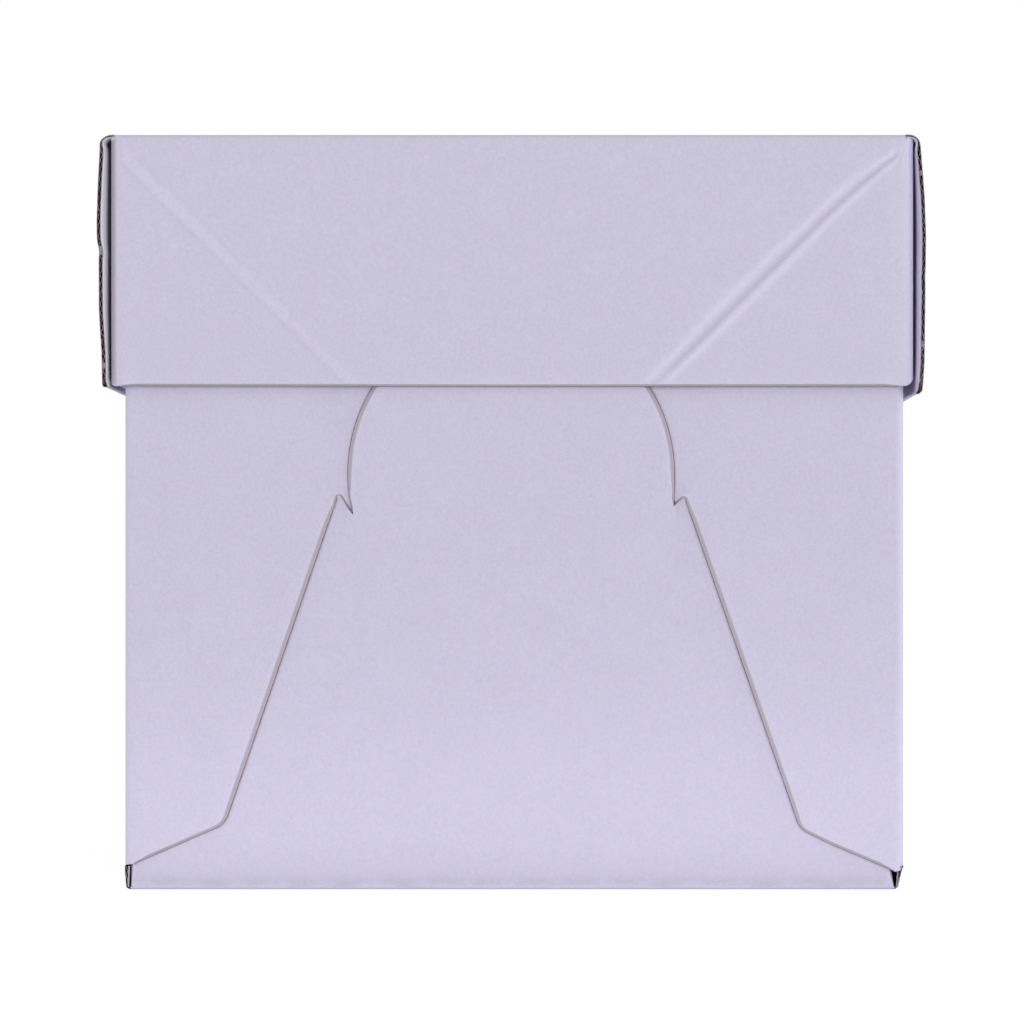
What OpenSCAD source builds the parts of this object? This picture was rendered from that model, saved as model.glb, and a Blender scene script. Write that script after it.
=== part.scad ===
// Cake box in fluted white board: a base tray with locked ends, and a four-corner lid.
// Millimetres, +Z up. The origin is the middle of the underside, where the box stands.
// X runs across the locked end, Y from the front end to the back end.

/* [Board] */
// thickness of the fluted board
board_t = 1.6; // [1.3:0.1:1.9]
// radius of every fold on its inner side
fold_r = 1.6; // [1.2:0.1:2]
// spacing of the flutes in the board
flute_pitch = 3.2; // [2.8:0.1:4]
// thickness of the two liners of the board
liner_t = 0.26; // [0.2:0.02:0.3]
// thickness of the wavy paper between the liners
medium_t = 0.22; // [0.16:0.02:0.28]
// how deep the open flutes are cut at the free edges of the lid sides
mouth_d = 2; // [1:0.1:3]

/* [Base] */
// outer width of the base, from side wall to side wall
base_w = 257.2; // [245:0.1:275]
// outer depth of the base, from ear face to ear face
base_d = 257.2; // [225:0.1:275]
// height of the base walls
base_h = 247; // [225:0.5:275]

/* [Lock] */
// radius of the round head on an end panel
head_r = 54.2; // [48:0.1:58]
// height of the middle of that round head
head_z = 137.5; // [125:0.5:150]
// height of the low corner of an ear
ear_z = 21; // [17:0.5:28]
// height at which the cut of an ear leaves the corner fold
ear_start_z = 7.6; // [6:0.1:12]
// distance of the low corner of an ear from the side of the box
ear_in_x = 33.6; // [26:0.1:38]
// how far an end panel reaches behind the edge of an ear
lap = 25; // [15:0.5:28]
// half of the opening between the two ears, behind the head
ear_open = 28; // [20:0.5:34]
// gap between boards that lie over each other
lap_gap = 0.3; // [0.2:0.05:0.5]
// width of the slit where ear and end panel pass each other
slit = 0.4; // [0.3:0.05:0.6]

/* [Lid] */
// height of the lid from its lower edge to its top face
skirt_h = 83; // [70:0.5:95]
// room between the round heads and the inside of the lid
lid_play = 0.7; // [0.5:0.1:1.2]
// gap between the rim of the base and the lid board
seat_gap = 0.6; // [0.4:0.1:1.5]
// how far the free edges of the lid sides stand outward
flare = 2.5; // [1.6:0.1:3.5]
// length over which a lid side bends outward
flare_len = 26; // [20:1:34]
// length of the glue flaps inside the lid
flap_len = 58; // [46:1:70]
// distance from the corner to the foot of a diagonal crease
crease_run = 76; // [66:1:86]
// depth of the diagonal creases
crease_d = 0.35; // [0.2:0.05:0.5]

/* [Hidden] */
half_w = base_w / 2;
half_d = base_d / 2;
fold_o = fold_r + board_t;
step_y = board_t + lap_gap;

// faces of the end panel: behind the ears low down, before them at the head
panel_y = half_d - step_y;
head_y = half_d + step_y;
panel_x = half_w - fold_o - slit;

// the crossing of ear and end panel
bend_lo = head_z - 0.323 * head_r;
bend_hi = head_z - 0.0646 * head_r;
hook_x = 1.0554 * head_r;
hook_z = head_z - 0.1384 * head_r;
tip_z = hook_z - 0.6 * board_t;
ear_x = half_w - ear_in_x;
notch_a = 14;
tooth_a = 12.3;

// the lid around the base
lid_x = half_w + step_y + lid_play;
lid_y = half_d + step_y + lid_play;
flap_x = lid_x + board_t;
front_y = lid_y + board_t;
side_x = flap_x + board_t;
side_y = front_y - board_t / 2;
lid_top = base_h + seat_gap + board_t;
lid_low = lid_top - skirt_h;
lid_mid = lid_top - skirt_h / 2;
flap_cut = 0.17 * flap_len;
crease_w = 0.94 * board_t;
crease_over = 2 * fold_o;

// the free edge of an ear, as x for a height
function edge_x(z) = ear_x + (hook_x - ear_x) * (z - ear_z) / (hook_z - ear_z);

// a smooth step from 0 to 1
function ease(t) = t * t * (3 - 2 * t);

// mirror a list of x,z points to the other side, last point first
function other_side(p) = [for (i = [len(p) - 1:-1:0]) [-p[i][0], p[i][1]]];

// face of the end panel for a height: smooth pass from behind the ears to before them
function end_y(z) = -panel_y - 2 * step_y * ease(min(1, max(0, (z - bend_lo) / (bend_hi - bend_lo))));

// a quarter of a round fold, standing on XY, outer side towards +X +Y
module quarter_fold(h) {
    difference() {
        intersection() {
            cylinder(r = fold_o, h = h, $fn = 96);
            cube([fold_o + 1, fold_o + 1, h]);
        }
        translate([0, 0, -1])
            cylinder(r = fold_r, h = h + 2, $fn = 96);
    }
}

// right half of the end panel below its head, as x,z points
function panel_points() = [
    [panel_x, fold_o],
    [edge_x(bend_lo) + lap, bend_lo - slit / 2],
    [edge_x(bend_lo) - slit, bend_lo - slit / 2],
    [edge_x(tip_z) - slit, tip_z],
    [head_r * cos(notch_a), head_z - head_r * sin(notch_a)]
];

module panel_outline() {
    polygon(concat(panel_points(), other_side(panel_points())));
    translate([0, head_z])
        circle(r = head_r, $fn = 96);
}

// ear outline in x,z: low cut, free edge, tooth, arc past the head, hidden inner edge
module ear_outline() {
    arc_r = head_r + slit;
    arc_end = asin((head_z - bend_hi - slit / 2) / arc_r);
    polygon(concat(
        [
            [half_w - fold_o, ear_start_z],
            [ear_x + 1.5 * board_t, ear_z - 0.7 * board_t],
            [ear_x + 0.1 * board_t, ear_z - 0.1 * board_t],
            [ear_x - 0.3 * board_t, ear_z + 0.9 * board_t],
            [hook_x, hook_z]
        ],
        [for (i = [0:3])
            let (a = tooth_a + (arc_end - tooth_a) * i / 3)
            [arc_r * cos(a), head_z - arc_r * sin(a)]
        ],
        [
            [ear_open, bend_hi + slit / 2],
            [ear_open, base_h],
            [half_w - fold_o, base_h]
        ]
    ));
}

// end panel at the front: fold at the floor, flat part, pass between the ears, round head
module end_panel() {
    n = 8;
    top = head_z + head_r + board_t;
    band = [for (i = [0:n]) bend_lo + (bend_hi - bend_lo) * i / n];
    outer = concat([[end_y(0), fold_o]], [for (z = band) [end_y(z), z]], [[end_y(top), top]]);
    inner = [for (i = [len(outer) - 1:-1:0]) [outer[i][0] + board_t, outer[i][1]]];
    intersection() {
        rotate([90, 0, 90])
            linear_extrude(height = base_w, center = true)
                polygon(concat(outer, inner));
        rotate([90, 0, 0])
            linear_extrude(height = 1.2 * base_d, center = true)
                panel_outline();
    }
    translate([-panel_x, fold_o - panel_y, fold_o])
        rotate([0, 90, 0])
            mirror([0, 1, 0])
                quarter_fold(2 * panel_x);
}

// ear at the front right, with the round corner fold that ties it to the side wall
module ear() {
    translate([0, -half_d + board_t, 0])
        rotate([90, 0, 0])
            linear_extrude(height = board_t)
                ear_outline();
    translate([half_w - fold_o, fold_o - half_d, ear_start_z])
        mirror([0, 1, 0])
            quarter_fold(base_h - ear_start_z);
}

// side wall at the right, with its fold at the floor and raw ends below the ears
module side_wall() {
    translate([half_w - board_t, fold_o - half_d, fold_o])
        cube([board_t, base_d - 2 * fold_o, base_h - fold_o]);
    translate([half_w - board_t, (board_t - base_d) / 2, fold_o])
        cube([board_t, base_d - board_t, ear_start_z - fold_o]);
    translate([half_w - fold_o, (base_d - board_t) / 2, fold_o])
        rotate([90, 0, 0])
            mirror([0, 1, 0])
                quarter_fold(base_d - board_t);
}

module base() {
    color([0.9, 0.9, 0.94]) {
        translate([fold_o - half_w, fold_o - panel_y, 0])
            cube([base_w - 2 * fold_o, 2 * (panel_y - fold_o), board_t]);
        for (s = [0, 1])
            mirror([0, s, 0])
                end_panel();
        for (s = [0, 1])
            mirror([s, 0, 0]) {
                side_wall();
                for (e = [0, 1])
                    mirror([0, e, 0])
                        ear();
            }
    }
}

// how far a lid side stands out at depth y and height z
function stand_out(y, z) =
    flare * pow(max(0, (abs(y) - side_y + flare_len) / flare_len), 2)
    * (1 - 0.78 * pow((z - lid_mid) / (skirt_h / 2), 2));

// stations along the depth of a lid side, close together where it bends
function side_stations() =
    let (k = [0, 0.12, 0.27, 0.46, 0.7, 1])
    concat([for (i = [0:5]) k[i] * flare_len - side_y], [for (i = [5:-1:0]) side_y - k[i] * flare_len]);

// rows of a lid side: round fold first, then the flat part; each is [x, z, share of the flare, r]
function side_row(j, r) =
    j <= 6
    ? [side_x - fold_o + r * sin(15 * j), lid_top - fold_o + r * cos(15 * j), 1 - cos(15 * j)]
    : [side_x - fold_o + r, lid_top - fold_o - (skirt_h - fold_o) * (j - 6) / 6, 1];

// right side of the lid: one bent sheet, built from a grid of points and its offset inner face
module lid_side() {
    ys = side_stations();
    nu = len(ys);
    nv = 13;
    function point(i, j, r) =
        let (p = side_row(j, r))
        [p[0] + p[2] * stand_out(ys[i], p[1]), ys[i], p[1]];
    pts = concat(
        [for (i = [0:nu - 1]) for (j = [0:nv - 1]) point(i, j, fold_o)],
        [for (i = [0:nu - 1]) for (j = [0:nv - 1]) point(i, j, fold_r)]
    );
    m = nu * nv;
    tri_out = [for (i = [0:nu - 2]) for (j = [0:nv - 2]) for (k = [0, 1])
        let (a = i * nv + j)
        k == 0 ? [a, a + nv, a + nv + 1] : [a, a + nv + 1, a + 1]];
    tri_in = [for (t = tri_out) [t[0] + m, t[2] + m, t[1] + m]];
    end_front = [for (j = [0:nv - 2]) [j, j + 1, j + 1 + m, j + m]];
    end_back = [for (j = [0:nv - 2])
        let (a = (nu - 1) * nv + j)
        [a, a + m, a + 1 + m, a + 1]];
    rim_top = [for (i = [0:nu - 2])
        let (a = i * nv)
        [a, a + m, a + nv + m, a + nv]];
    rim_low = [for (i = [0:nu - 2])
        let (a = i * nv + nv - 1)
        [a, a + nv, a + nv + m, a + m]];
    difference() {
        polyhedron(points = pts, faces = concat(tri_out, tri_in, end_front, end_back, rim_top, rim_low));
        for (e = [0, 1])
            mirror([0, e, 0])
                flute_mouths();
    }
}

// open flutes at the front edge of the right lid side: cells that point outward and inward in turn
module flute_mouths() {
    count = floor((skirt_h - fold_o) / flute_pitch - 0.9);
    function cell(h, z) =
        let (out = -liner_t, in = liner_t - board_t, w = 1.6 * medium_t)
        h == 0
        ? [[out, z + w], [out, z + flute_pitch - w], [in + medium_t, z + flute_pitch / 2]]
        : [[in, z + w], [in, z + flute_pitch - w], [out - medium_t, z + flute_pitch / 2]];
    for (i = [0:count - 1])
        for (h = [0, 1]) {
            z = lid_low + flute_pitch * (i + 0.2 + h / 2);
            mid = z + flute_pitch / 2;
            share = stand_out(side_y, mid);
            points = [for (q = cell(h, z)) [q[0] + stand_out(side_y, q[1]) - share, q[1]]];
            translate([side_x + share, -side_y, 0])
                rotate([0, 0, atan(2 * share / flare_len)])
                    translate([0, mouth_d, 0])
                        rotate([90, 0, 0])
                            linear_extrude(height = mouth_d + board_t / 2)
                                polygon(points);
        }
}

// V groove of one diagonal crease on the right half of the front panel
module crease_cut() {
    run = crease_run - fold_o;
    rise = skirt_h - fold_o;
    a = atan2(run, rise);
    translate([flap_x - crease_run, -front_y, lid_low])
        rotate([0, a, 0])
            translate([0, 0, -crease_over])
                linear_extrude(height = norm([run, rise]) + 0.6 * crease_over)
                    polygon([[-crease_w, -0.05 * crease_d], [crease_w, -0.05 * crease_d], [0, crease_d]]);
}

// glue flap inside the right lid side, tied to the front panel by a round fold
module glue_flap() {
    low = lid_low + board_t / 2;
    top = lid_top - fold_o - board_t / 2;
    y0 = fold_o - front_y;
    translate([lid_x, 0, 0])
        rotate([90, 0, 90])
            linear_extrude(height = board_t + slit / 3)
                polygon([
                    [y0, low],
                    [y0, top],
                    [y0 + flap_len, top - flap_len * 0.55],
                    [y0 + flap_len, low + flap_cut],
                    [y0 + flap_len - flap_cut, low]
                ]);
    translate([flap_x - fold_o, y0, low])
        mirror([0, 1, 0])
            quarter_fold(top - low);
}

// front panel of the lid: fold at the top edge, flat part, two diagonal creases
module lid_front() {
    half = flap_x - fold_o;
    difference() {
        translate([-half, -front_y, lid_low])
            cube([2 * half, board_t, skirt_h - fold_o]);
        for (s = [0, 1])
            mirror([s, 0, 0])
                crease_cut();
    }
    translate([half, fold_o - front_y, lid_top - fold_o])
        rotate([0, -90, 0])
            mirror([0, 1, 0])
                quarter_fold(2 * half);
    for (s = [0, 1])
        mirror([s, 0, 0])
            glue_flap();
}

module lid() {
    color([0.88, 0.88, 0.93]) {
        translate([fold_o - side_x, fold_o - front_y, lid_top - board_t])
            cube([2 * (side_x - fold_o), 2 * (front_y - fold_o), board_t]);
        for (s = [0, 1])
            mirror([0, s, 0])
                lid_front();
        for (s = [0, 1])
            mirror([s, 0, 0])
                lid_side();
    }
}

base();
lid();
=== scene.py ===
import math
import bmesh
import bpy
import numpy as np
from mathutils.geometry import delaunay_2d_cdt
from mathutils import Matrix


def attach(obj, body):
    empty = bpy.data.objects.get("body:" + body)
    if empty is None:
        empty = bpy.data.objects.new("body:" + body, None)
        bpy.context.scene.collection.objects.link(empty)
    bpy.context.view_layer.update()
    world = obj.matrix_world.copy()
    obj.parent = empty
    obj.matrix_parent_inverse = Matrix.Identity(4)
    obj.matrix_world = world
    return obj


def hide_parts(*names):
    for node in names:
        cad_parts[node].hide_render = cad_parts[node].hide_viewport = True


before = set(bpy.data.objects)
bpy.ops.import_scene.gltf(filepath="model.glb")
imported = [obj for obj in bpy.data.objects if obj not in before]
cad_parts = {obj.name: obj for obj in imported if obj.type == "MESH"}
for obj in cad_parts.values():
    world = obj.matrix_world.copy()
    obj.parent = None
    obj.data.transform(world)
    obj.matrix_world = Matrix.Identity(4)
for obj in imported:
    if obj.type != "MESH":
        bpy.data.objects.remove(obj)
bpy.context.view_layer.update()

# Lengths are millimetres up to finishPiece, which writes metres. +X right, +Y back, +Z up.
board = {
    "thick": 1.6,        # whole board
    "liner": 0.27,       # each outer paper
    "medium": 0.14,      # wavy paper between them
    "pitch": 3.17,       # one flute to the next
    "mouth": 13.0,       # how deep the open flutes are made
    "bevel": 1.7,        # width of the pressed rim along a die cut
    "fold": 3.2,         # outer radius of a fold
}

coat, raw, kraft = 0, 1, 2                   # material slots of every board piece
rightward, backward, upward = np.eye(3)      # unit directions
mouthRow = np.array([0.0, 0.3, 0.6, 0.95, 1.3, 2.0, 5.0, board["mouth"]])    # depths into open flutes


# ease(t) = 3t^2 - 2t^3, with t held between 0 and 1
def ease(t):
    t = np.clip(t, 0.0, 1.0)
    return t * t * (3.0 - 2.0 * t)


# hump(t) = exp(-t^2)
def hump(t):
    return np.exp(-t * t)


# ripple: three sines of s with unrelated lengths, between about -1 and 1
def ripple(s, seed, length):
    t = s * 2.0 * np.pi / length
    second = 0.6 * np.sin(2.31 * t + 2.7 * seed)
    third = 0.4 * np.sin(5.17 * t + 4.1 * seed)
    return (np.sin(t + seed) + second + third) / 2.0


# distance along a line of points, 0 at its first
def pathLength(line):
    return np.concatenate([[0.0], np.cumsum(np.linalg.norm(np.diff(line, axis=0), axis=1))])


# an empty board piece, to be filled with patches
def newPiece():
    return {"points": [], "faces": [], "slots": [], "uv": [], "paintedShading": [], "wearAndShade": [], "count": 0}


# adds a patch of points and faces; the whole patch is turned over if its normals run against toward
def addPatch(piece, points, faces, slot, toward, uv=None, paintedShading=0.0, wearAndShade=0.0):
    corner = points[faces]
    normal = np.cross(corner[:, 2] - corner[:, 0], corner[:, -1] - corner[:, 1])
    if (normal * toward).sum() < 0.0:
        faces = faces[:, ::-1]
    count = len(points)
    piece["points"].append(points)
    piece["faces"].append(faces + piece["count"])
    piece["slots"].append(np.full(len(faces), slot))
    piece["uv"].append(np.zeros((count, 2)) if uv is None else uv)
    piece["paintedShading"].append(np.zeros(count) + paintedShading)
    piece["wearAndShade"].append(np.zeros(count) + wearAndShade)
    piece["count"] += count


# quads of a grid: cell (i, j) joins points (i, j), (i+1, j), (i+1, j+1), (i, j+1)
def gridQuads(rows, columns):
    i, j = np.meshgrid(np.arange(rows - 1), np.arange(columns - 1), indexing="ij")
    a = (i * columns + j).ravel()
    return np.stack([a, a + columns, a + columns + 1, a + 1], axis=1)


# adds a grid of points as a patch of quads
def addGrid(piece, grid, slot, toward, uv=None, paintedShading=0.0, wearAndShade=0.0):
    rows, columns = grid.shape[:2]
    flat = None if uv is None else uv.reshape(-1, 2)
    paintedShading = np.broadcast_to(paintedShading, (rows, columns)).ravel()
    wearAndShade = np.broadcast_to(wearAndShade, (rows, columns)).ravel()
    addPatch(piece, grid.reshape(-1, 3), gridQuads(rows, columns), slot, toward, flat, paintedShading, wearAndShade)


# a sheet from its outer grid and the unit directions inward: its inner face lies thick behind the outer one
def addSheetGrid(piece, outer, inward, toward, uv=None, paintedShading=0.0, thick=None, innerPaintedShading=0.0, wearAndShade=0.0):
    toward = np.array(toward, float)
    thick = board["thick"] if thick is None else thick[..., None]
    addGrid(piece, outer, coat, toward, uv, paintedShading, wearAndShade)
    addGrid(piece, outer + inward * thick, coat, -toward, uv, innerPaintedShading)


# stations from a to b, about step apart, with closer ones near both ends
def stations(a, b, step, close=(0.5, 1.4, 3.0)):
    middle = np.linspace(a, b, max(3, int(abs(b - a) / step) + 1))
    sign = 1.0 if b > a else -1.0
    near = np.array(close)
    inner = middle[(np.abs(middle - a) > close[-1] * 1.3) & (np.abs(middle - b) > close[-1] * 1.3)]
    return np.concatenate([[a], a + sign * near, inner, (b - sign * near)[::-1], [b]])


# a path through corners, each rounded by an arc of its radius, with points at most step apart
def roundedPath(corners, radii, step):
    corners = np.array(corners, float)
    parts = [corners[:1]]
    for a, b, c, radius in zip(corners[:-2], corners[1:-1], corners[2:], radii):
        u, v = (a - b) / np.linalg.norm(a - b), (c - b) / np.linalg.norm(c - b)
        half = 0.5 * math.acos(np.clip(u @ v, -0.9999, 0.9999))
        reach = min(radius / math.tan(half), 0.48 * np.linalg.norm(a - b), 0.48 * np.linalg.norm(c - b))
        radius = reach * math.tan(half)
        centre = b + (u + v) / np.linalg.norm(u + v) * radius / math.sin(half)
        first, last = b + u * reach - centre, b + v * reach - centre
        start = math.atan2(first[1], first[0])
        turn = (math.atan2(last[1], last[0]) - start + math.pi) % (2.0 * math.pi) - math.pi
        angle = start + turn * np.linspace(0.0, 1.0, max(3, int(abs(turn) * radius / (0.4 * step)) + 3))
        parts.append(centre + radius * np.stack([np.cos(angle), np.sin(angle)], axis=1))
    path = np.concatenate(parts + [corners[-1:]])
    return resample(path, step)


# adds points on the long stretches of a path, so that none is longer than step
def resample(path, step):
    along = pathLength(path)
    extra = np.linspace(0.0, along[-1], int(along[-1] / step) + 2)
    gap = np.abs(extra[:, None] - along[None, :]).min(axis=1)
    every = np.sort(np.concatenate([along, extra[gap > 0.45 * step]]))
    every = every[np.concatenate([[True], np.diff(every) > 1e-4])]
    return np.stack([np.interp(every, along, path[:, k]) for k in range(path.shape[1])], axis=1)


# even-odd rule for many points at once
def inside(points, loop):
    a, b = loop, np.roll(loop, -1, axis=0)
    x, y = points[:, :1], points[:, 1:]
    crosses = (a[:, 1] > y) != (b[:, 1] > y)
    rise = np.where(np.abs(b[:, 1] - a[:, 1]) < 1e-9, 1e-9, b[:, 1] - a[:, 1])
    at = a[:, 0] + (y - a[:, 1]) * (b[:, 0] - a[:, 0]) / rise
    return (crosses & (x < at)).sum(axis=1) % 2 == 1


# a grid of loose points over a rectangle, jittered so that the triangles have no rows
def scatter(low, high, step):
    x, z = np.meshgrid(np.arange(low[0], high[0], step), np.arange(low[1], high[1], step))
    x, z = x.ravel(), z.ravel()
    jitter = 0.23 * step
    return np.stack([x + jitter * np.sin(7.1 * z + x), z + jitter * np.cos(5.3 * x + z)], axis=1)


# rim of a die cut: share of its width, share of the thickness, coat wear, a painted highlight at its start;
# its middle is the raw board
rimShape = np.array([
    (0.0, 0.0, 0.0, 0.05), (0.06, 0.03, 0.5, 0.02), (0.2, 0.12, 0.9, 0.0), (0.5, 0.31, 1.0, 0.0),
    (0.84, 0.52, 0.95, 0.0), (0.97, 0.62, 0.85, 0.0), (0.93, 0.72, 0.85, 0.0), (0.98, 0.8, 0.9, 0.0),
    (0.9, 0.92, 0.9, 0.0), (0.6, 0.98, 0.5, 0.0), (0.0, 1.0, 0.0, 0.0)])


# distance from each point to the nearest of the others
def nearest(points, others):
    return np.linalg.norm(points[:, None] - others[None, :], axis=2).min(axis=1)


# unit normals of a cut edge in the flat, pointing out of the loop that it is part of
def outwardOf(cut, loop):
    turn = np.roll(loop, -1, axis=0)
    area = (loop[:, 0] * turn[:, 1] - turn[:, 0] * loop[:, 1]).sum()
    tangent = np.gradient(cut, axis=0)
    tangent /= np.linalg.norm(tangent, axis=1, keepdims=True)
    return np.stack([tangent[:, 1], -tangent[:, 0]], axis=1) * (1.0 if area > 0.0 else -1.0)


# width of the rim along a cut: the bevel, less where another stretch of the cut is near or the cut ends
def rimWidth(cut, along, bevel):
    apart = np.linalg.norm(cut[:, None] - cut[None, :], axis=2)
    sameStretch = apart >= 0.85 * np.abs(along[:, None] - along[None, :])
    apart[sameStretch] = np.inf
    width = np.minimum(bevel, 0.3 * apart.min(axis=1))
    width = np.minimum(width, 0.05 + 0.8 * np.minimum(along, along[-1] - along))
    return np.convolve(np.pad(width, 2, mode="edge"), np.ones(5) / 5.0, mode="valid")


# triangles of a flat sheet: points and faces inside edge, through the loose points and along the lines
def fillSheet(edge, loose, lines):
    loose = loose[inside(loose, edge)]
    points = np.concatenate([edge, loose[nearest(loose, edge) > 0.45]])
    joins = [(i, (i + 1) % len(edge)) for i in range(len(edge))]
    for line in lines:
        line = line[inside(line, edge)]
        line = line[nearest(line, edge) > 0.6]
        joins += [(len(points) + i, len(points) + i + 1) for i in range(len(line) - 1)]
        points = np.concatenate([points, line])
    made = delaunay_2d_cdt([tuple(p) for p in points], joins, [], 1, 1e-6)
    return np.array([tuple(p) for p in made[0]]), np.array(made[2])


# a die-cut sheet in flat coordinates: cut is its cut edge, seam closes the outline along the folds.
# place(p, h) puts flat points p into space, h behind the outer face.
# The sheet ends one rim width before the cut, and the rim shape is carried along the cut.
def addCutSheet(piece, cut, seam, loose, lines, place, toward, uvOf, paintedShadingOf=None, bevel=None):
    bevel = board["bevel"] if bevel is None else bevel
    thick = board["thick"]
    along = pathLength(cut)
    outward = outwardOf(cut, np.concatenate([cut, seam]))
    width = rimWidth(cut, along, bevel)
    inset = cut - outward * width[:, None]
    second = (cut - outward * (width + 0.7)[:, None])[width > 0.85 * bevel]
    flat, faces = fillSheet(np.concatenate([inset, seam]), np.concatenate([second, loose]), lines)
    close = nearest(flat, inset)
    # a painted highlight on the coat along the start of the rim and just inside it
    paintedShading = np.where(close < 0.05, rimShape[0, 3], np.where(close < 0.8, 0.015, 0.0))
    paintedShading = paintedShading if paintedShadingOf is None else paintedShading + paintedShadingOf(flat)
    addPatch(piece, place(flat, 0.0), faces, coat, toward, uvOf(flat), paintedShading)
    addPatch(piece, place(flat, thick), faces, coat, -toward, uvOf(flat))
    rows = [place(inset + outward * (width * d)[:, None], h * thick) for d, h in rimShape[:, :2]]
    rim = np.stack(rows, axis=1)
    side = place(cut + outward, 0.5 * thick) - place(cut, 0.5 * thick)
    for first, last, slot in ((0, 4, coat), (4, 7, raw), (7, 10, coat)):
        part = rimShape[None, first:last + 1]
        uv = np.stack(np.broadcast_arrays(along[:, None], part[..., 1]), axis=2)
        way = np.repeat(side[:-1], last - first, axis=0)
        addGrid(piece, rim[:, first:last + 1], slot, way, uv, part[..., 3], part[..., 2])


# pressed edge: distance through the board, distance back from the edge line, wear
pressedShape = np.array([
    (0.0, 0.0, 0.0), (0.12, -0.25, 0.06), (0.45, -0.42, 0.3), (0.8, -0.3, 0.48),
    (1.15, -0.42, 0.3), (1.48, -0.25, 0.06), (1.6, 0.0, 0.0)])


# a pressed lower edge: the coat is drawn round it, so it shows white with a thin worn line
def addPressedRim(piece, outer, inward, into, toward):
    rows = [outer + inward * h + into * d for h, d in pressedShape[:, :2]]
    uv = np.stack(np.broadcast_arrays(pathLength(outer)[:, None], pressedShape[None, :, 0]), axis=2)
    addGrid(piece, np.stack(rows, axis=1), coat, toward, uv, 0.0, pressedShape[None, :, 2])


# a plain cut edge: strip between an outer line and its inner line, with the two liners standing proud
def addRim(piece, outer, inward, into, toward, depth=0.8):
    thick, lined = board["thick"], board["liner"]
    level = np.array([0.0, lined, lined + 0.08, thick - lined - 0.08, thick - lined, thick])
    back = depth * np.array([0.0, 0.0, 1.0, 1.0, 0.0, 0.0])
    rim = np.stack([outer + inward * h + into * d for h, d in zip(level, back)], axis=1)
    uv = np.stack(np.broadcast_arrays(pathLength(outer)[:, None], level[None] / thick), axis=2)
    for first, last, slot in ((0, 2, raw), (1, 5, kraft), (4, 6, raw)):
        addGrid(piece, rim[:, first:last], slot, toward, uv[:, first:last], 0.0, 1.0)


# open flutes at a raw end. outer and inward are grids over (along the edge, depth into the board), and
# depth is that row. The inner liner is pressed down at the cut by pinch (1 - ease(depth / 1.3)). The wavy
# paper lies between the liners at 0.5 + swing tanh(1.4 sin(2 pi s / pitch)) / tanh 1.4, s along the edge.
# crush thins the whole board along s, as a score does.
def addRawEnd(piece, outer, inward, depth, toward, seed, pinch=0.5, crush=0.0):
    s = pathLength(outer[:, 0] + inward[:, 0] * 0.5 * board["thick"])
    phase = 2.0 * np.pi * s / board["pitch"] + seed + 0.6 * ripple(s, seed, 41.0)
    swing = 0.42 * (0.9 + 0.1 * ripple(s, seed + 1.0, 23.0))
    wave = (0.5 + swing * np.tanh(1.4 * np.sin(phase)) / math.tanh(1.4))[:, None]
    crush = (crush + 0.0 * s)[:, None]
    lined = (0.8 - 0.3 * crush) * board["liner"] * (1.0 + 0.2 * ripple(s, seed + 2.0, 9.0))[:, None]
    half = 0.5 * board["medium"]
    inner = board["thick"] - crush - pinchAt(s[:, None], depth[None, :], seed, pinch)
    level = lined + half + (inner - 2.0 * lined - 2.0 * half) * wave
    ragged = 0.3 * (1.0 + ripple(s, seed + 4.0, 5.0))[:, None]

    def at(h):
        return outer + inward * np.broadcast_to(h, outer.shape[:2])[..., None]

    def uv(grid):
        zero = 0.0 * grid[..., 0]
        return np.stack([zero + s[:, None], zero + 0.5], axis=2)

    for low, high, wearAndShade in ((0.0 * lined, lined, 0.7), (inner[:, :1] - lined, inner[:, :1], 0.6)):
        grid = np.stack([outer[:, 0] + inward[:, 0] * low, outer[:, 0] + inward[:, 0] * high], axis=1)
        addGrid(piece, grid, raw, toward, uv(grid), 0.0, wearAndShade)
    for h, side in ((lined + 0.0 * inner, 1.0), (inner - lined, -1.0)):
        grid = at(h)
        addGrid(piece, grid, kraft, side * inward[:-1, :-1].reshape(-1, 3), uv(grid))
    for h, side in ((level - half, -1.0), (level + half, 1.0)):
        grid = at(h)
        grid[:, 0] += (outer[:, 1] - outer[:, 0]) * ragged
        addGrid(piece, grid, kraft, side * inward[:-1, :-1].reshape(-1, 3), uv(grid))
    grid = np.stack([at(level - half)[:, 0], at(level + half)[:, 0]], axis=1)
    grid = grid + ((outer[:, 1] - outer[:, 0]) * ragged)[:, None]
    addGrid(piece, grid, raw, toward, uv(grid), 0.0, 1.0)
    back = np.stack([at(lined)[:, -1], at(inner - lined)[:, -1]], axis=1)
    addGrid(piece, back, kraft, toward, uv(back))


# how far the inner liner is pressed down near a raw end
def pinchAt(s, depth, seed, pinch):
    return pinch * (1.0 + 0.25 * ripple(s, seed + 3.0, 31.0)) * (1.0 - ease(depth / 1.3))


# the same for a sheet with a raw end at the front and one at the back, s along both, y from end to end
def pinchBoth(s, y, end, seed, pinch):
    depth = (end - np.abs(y))[None, :]
    front, rear = pinchAt(s, depth, seed[-1.0], pinch), pinchAt(s, depth, seed[1.0], pinch)
    return np.where(y[None, :] < 0.0, front, rear)


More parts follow.
